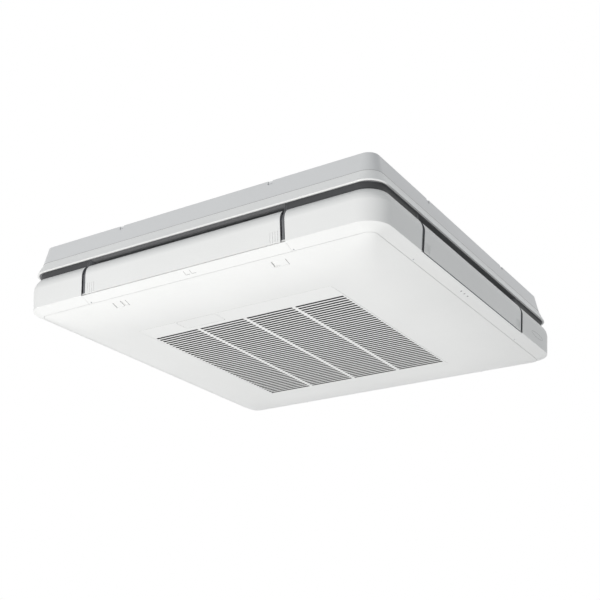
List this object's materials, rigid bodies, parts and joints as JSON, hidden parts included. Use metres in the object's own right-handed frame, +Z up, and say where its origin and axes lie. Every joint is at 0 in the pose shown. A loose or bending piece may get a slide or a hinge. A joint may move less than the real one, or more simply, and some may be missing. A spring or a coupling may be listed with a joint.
{
  "type": "ceiling-suspended air conditioner",
  "caption": "Flat square white ceiling-suspended air conditioner with swinging outlet flaps round its sides and a slotted drop-down intake panel below.",
  "frame": {"origin": "centre of the flat top face, in the ceiling plane", "axes": "+Z up to the ceiling, -Y to the side with the two latch knobs, +X to the side with the indicator lamps"},
  "size_m": [0.95, 0.95, 0.198],
  "materials": {
    "white_moulding": "satin moulded white",
    "white_steel": "satin white coat",
    "galvanised_steel": "dull zinc coat",
    "control_steel": "plain sheet, light grey",
    "dark_moulding": "matt dark grey",
    "grey_moulding": "matt grey",
    "foam": "expanded bead foam",
    "fin_aluminium": "close vertical fins",
    "copper_tube": "bright drawn copper",
    "brass_fitting": "turned brass",
    "black_rubber": "matt rubber",
    "green_board": "coated board",
    "filter_mesh": "woven mesh in a moulded frame",
    "lamp_lens": "clear polished lens"
  },
  "bodies": {
    "chassis": {"base_frame": "white_moulding", "bell_mouth": "grey_moulding", "circuit_board": "green_board", "coil_end_plate_back": "galvanised_steel", "coil_end_plate_left": "galvanised_steel", "control_box": "control_steel", "control_lid": "control_steel", "corner_cover_back_left": "white_moulding", "corner_cover_back_right": "white_moulding", "corner_cover_front_left": "white_moulding", "corner_cover_front_right": "white_moulding", "corner_liner_back_left": "dark_moulding", "corner_liner_back_right": "dark_moulding", "corner_liner_front_left": "dark_moulding", "corner_liner_front_right": "dark_moulding", "corner_post_back_left": "galvanised_steel", "corner_post_back_right": "galvanised_steel", "corner_post_front_left": "galvanised_steel", "corner_post_front_right": "galvanised_steel", "drain_pan": "foam", "drain_pump": "dark_moulding", "drain_riser": "grey_moulding", "drain_socket": "grey_moulding", "fan_motor": "dark_moulding", "flap_motor_back": "dark_moulding", "flap_motor_front": "dark_moulding", "flap_motor_left": "dark_moulding", "flap_motor_right": "dark_moulding", "gas_fitting": "brass_fitting", "gas_pipe": "copper_tube", "heat_exchanger": "fin_aluminium", "indicator_lenses": "lamp_lens", "liquid_fitting": "brass_fitting", "liquid_pipe": "copper_tube", "motor_mounts": "black_rubber", "outlet_frame": "white_moulding", "outlet_liner": "dark_moulding", "pipe_grommet": "black_rubber", "return_bends": "copper_tube", "terminal_block": "grey_moulding", "top_insulation": "foam", "top_plate": "galvanised_steel", "trim_back": "white_moulding", "trim_front": "white_moulding", "trim_left": "white_moulding", "trim_right": "white_moulding", "upper_casing": "white_steel"},
    "flap_right": {"flap_right": "white_moulding"},
    "flap_back": {"flap_back": "white_moulding"},
    "flap_left": {"flap_left": "white_moulding"},
    "flap_front": {"flap_front": "white_moulding"},
    "fan": {"turbo_fan": "grey_moulding", "fan_shaft": "galvanised_steel"},
    "intake": {"intake_panel": "white_moulding", "intake_grille": "white_moulding", "badge_plate": "white_moulding", "air_filter": "filter_mesh"},
    "knob_left": {"latch_left": "white_moulding"},
    "knob_right": {"latch_right": "white_moulding"}
  },
  "joints": [
    {"name": "flap_right_swing", "type": "hinge", "parent": "chassis", "child": "flap_right", "pos_m": [0.448, 0, -0.106], "axis": [0, -1, 0], "range_deg": [0, 85]},
    {"name": "flap_back_swing", "type": "hinge", "parent": "chassis", "child": "flap_back", "pos_m": [0, 0.448, -0.106], "axis": [1, 0, 0], "range_deg": [0, 85]},
    {"name": "flap_left_swing", "type": "hinge", "parent": "chassis", "child": "flap_left", "pos_m": [-0.448, 0, -0.106], "axis": [0, 1, 0], "range_deg": [0, 85]},
    {"name": "flap_front_swing", "type": "hinge", "parent": "chassis", "child": "flap_front", "pos_m": [0, -0.448, -0.106], "axis": [-1, 0, 0], "range_deg": [0, 85]},
    {"name": "fan_spin", "type": "hinge", "parent": "chassis", "child": "fan", "pos_m": [0, 0, -0.08], "axis": [0, 0, 1], "continuous": true},
    {"name": "intake_drop", "type": "hinge", "parent": "chassis", "child": "intake", "pos_m": [0, 0.43065, -0.1735], "axis": [1, 0, 0], "range_deg": [0, 85]},
    {"name": "knob_left_slide", "type": "slide", "parent": "intake", "child": "knob_left", "axis": [1, 0, 0], "range_m": [0, 0.014]},
    {"name": "knob_right_slide", "type": "slide", "parent": "intake", "child": "knob_right", "axis": [-1, 0, 0], "range_m": [0, 0.014]}
  ]
}
